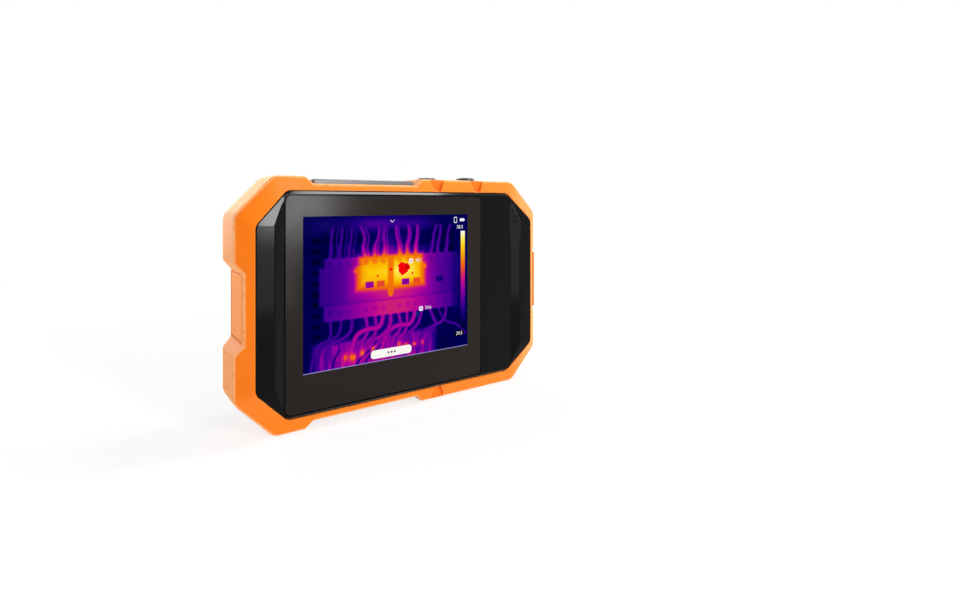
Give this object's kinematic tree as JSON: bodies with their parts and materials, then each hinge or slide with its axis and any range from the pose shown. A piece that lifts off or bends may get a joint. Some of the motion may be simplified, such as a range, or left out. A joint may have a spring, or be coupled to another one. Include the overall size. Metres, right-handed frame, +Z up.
{
  "type": "thermal imaging camera",
  "caption": "Pocket thermal imaging camera: touch screen in a black housing with an orange rubber bumper, top buttons, side port flap, strap bar and rear lens.",
  "frame": {"origin": "middle of the footprint, on the ground under the bumper's lower edge", "axes": "+X to the right of someone who looks at the screen, +Y from the screen to the lens, +Z up"},
  "size_m": [0.1338, 0.024, 0.0881],
  "materials": {
    "front_plastic": "fine texture",
    "rear_plastic": "fine texture",
    "bumper_rubber": "satin",
    "cover_glass": "gloss",
    "display_panel": "gloss",
    "ribbon": "satin",
    "chassis_metal": "satin",
    "circuit_board": "satin",
    "shield_tin": "satin",
    "radio_tin": "satin",
    "battery_wrap": "satin",
    "speaker_black": "matte",
    "seal_rubber": "matte",
    "trim_plastic": "satin",
    "power_button_plastic": "satin",
    "power_plunger_plastic": "satin",
    "power_switch_body": "satin",
    "capture_button_plastic": "satin",
    "capture_plunger_plastic": "satin",
    "capture_switch_body": "satin",
    "key_board_green": "satin",
    "flap_rubber": "satin",
    "usb_steel": "satin",
    "bar_plastic": "satin",
    "insert_brass": "satin",
    "core_metal": "satin",
    "detector_ceramic": "matte",
    "pin_steel": "polished",
    "shutter_blade_black": "matte",
    "actuator_case": "satin",
    "barrel_black": "satin",
    "germanium_inner": "polished",
    "germanium_outer": "polished",
    "bezel_black": "satin",
    "optics_plastic": "gloss",
    "camera_module": "matte",
    "camera_window": "gloss",
    "torch_board": "matte",
    "torch_clear": "gloss",
    "housing_screw_steel": "satin",
    "board_screw_steel": "satin"
  },
  "bodies": {
    "camera_body": {"front_housing": "front_plastic", "rear_housing": "rear_plastic", "bumper": "bumper_rubber", "touch_glass": "cover_glass", "lcd_module": "display_panel", "lcd_ribbon": "ribbon", "mid_chassis": "chassis_metal", "main_board": "circuit_board", "processor_shield": "shield_tin", "wireless_module": "radio_tin", "battery_pack": "battery_wrap", "speaker": "speaker_black", "housing_seal": "seal_rubber", "top_trim": "trim_plastic", "power_switch": "power_switch_body", "capture_switch": "capture_switch_body", "key_board": "key_board_green", "usb_c_socket": "usb_steel", "strap_bar": "bar_plastic", "tripod_insert": "insert_brass", "core_base": "core_metal", "detector_package": "detector_ceramic", "shutter_pin": "pin_steel", "shutter_actuator": "actuator_case", "lens_barrel": "barrel_black", "rear_lens": "germanium_inner", "front_lens": "germanium_outer", "lens_bezel": "bezel_black", "optics_cover": "optics_plastic", "visible_camera": "camera_module", "visible_window": "camera_window", "torch_led": "torch_board", "torch_lens": "torch_clear", "housing_screw_1": "housing_screw_steel", "board_screw_1": "board_screw_steel", "housing_screw_2": "housing_screw_steel", "board_screw_2": "board_screw_steel", "housing_screw_3": "housing_screw_steel", "board_screw_3": "board_screw_steel", "housing_screw_4": "housing_screw_steel", "board_screw_4": "board_screw_steel"},
    "power_key": {"power_button": "power_button_plastic", "power_plunger": "power_plunger_plastic"},
    "capture_key": {"capture_button": "capture_button_plastic", "capture_plunger": "capture_plunger_plastic"},
    "port_cover": {"port_flap": "flap_rubber"},
    "shutter": {"shutter_blade": "shutter_blade_black"}
  },
  "joints": [
    {"name": "power_press", "type": "slide", "parent": "camera_body", "child": "power_key", "axis": [0, 0, -1], "range_m": [0, 0.0006], "stiffness_N_per_m": 2000},
    {"name": "capture_press", "type": "slide", "parent": "camera_body", "child": "capture_key", "axis": [0, 0, -1], "range_m": [0, 0.0006], "stiffness_N_per_m": 1600},
    {"name": "port_flap_hinge", "type": "hinge", "parent": "camera_body", "child": "port_cover", "pos_m": [-0.06413, -0.00755, 0.0433], "axis": [0, 0, 1], "range_deg": [0, 110]},
    {"name": "shutter_swing", "type": "hinge", "parent": "camera_body", "child": "shutter", "pos_m": [-0.00863, 0.0027, 0.0507], "axis": [0, -1, 0], "range_deg": [0, 60], "stiffness_Nm_per_rad": 0.002}
  ]
}
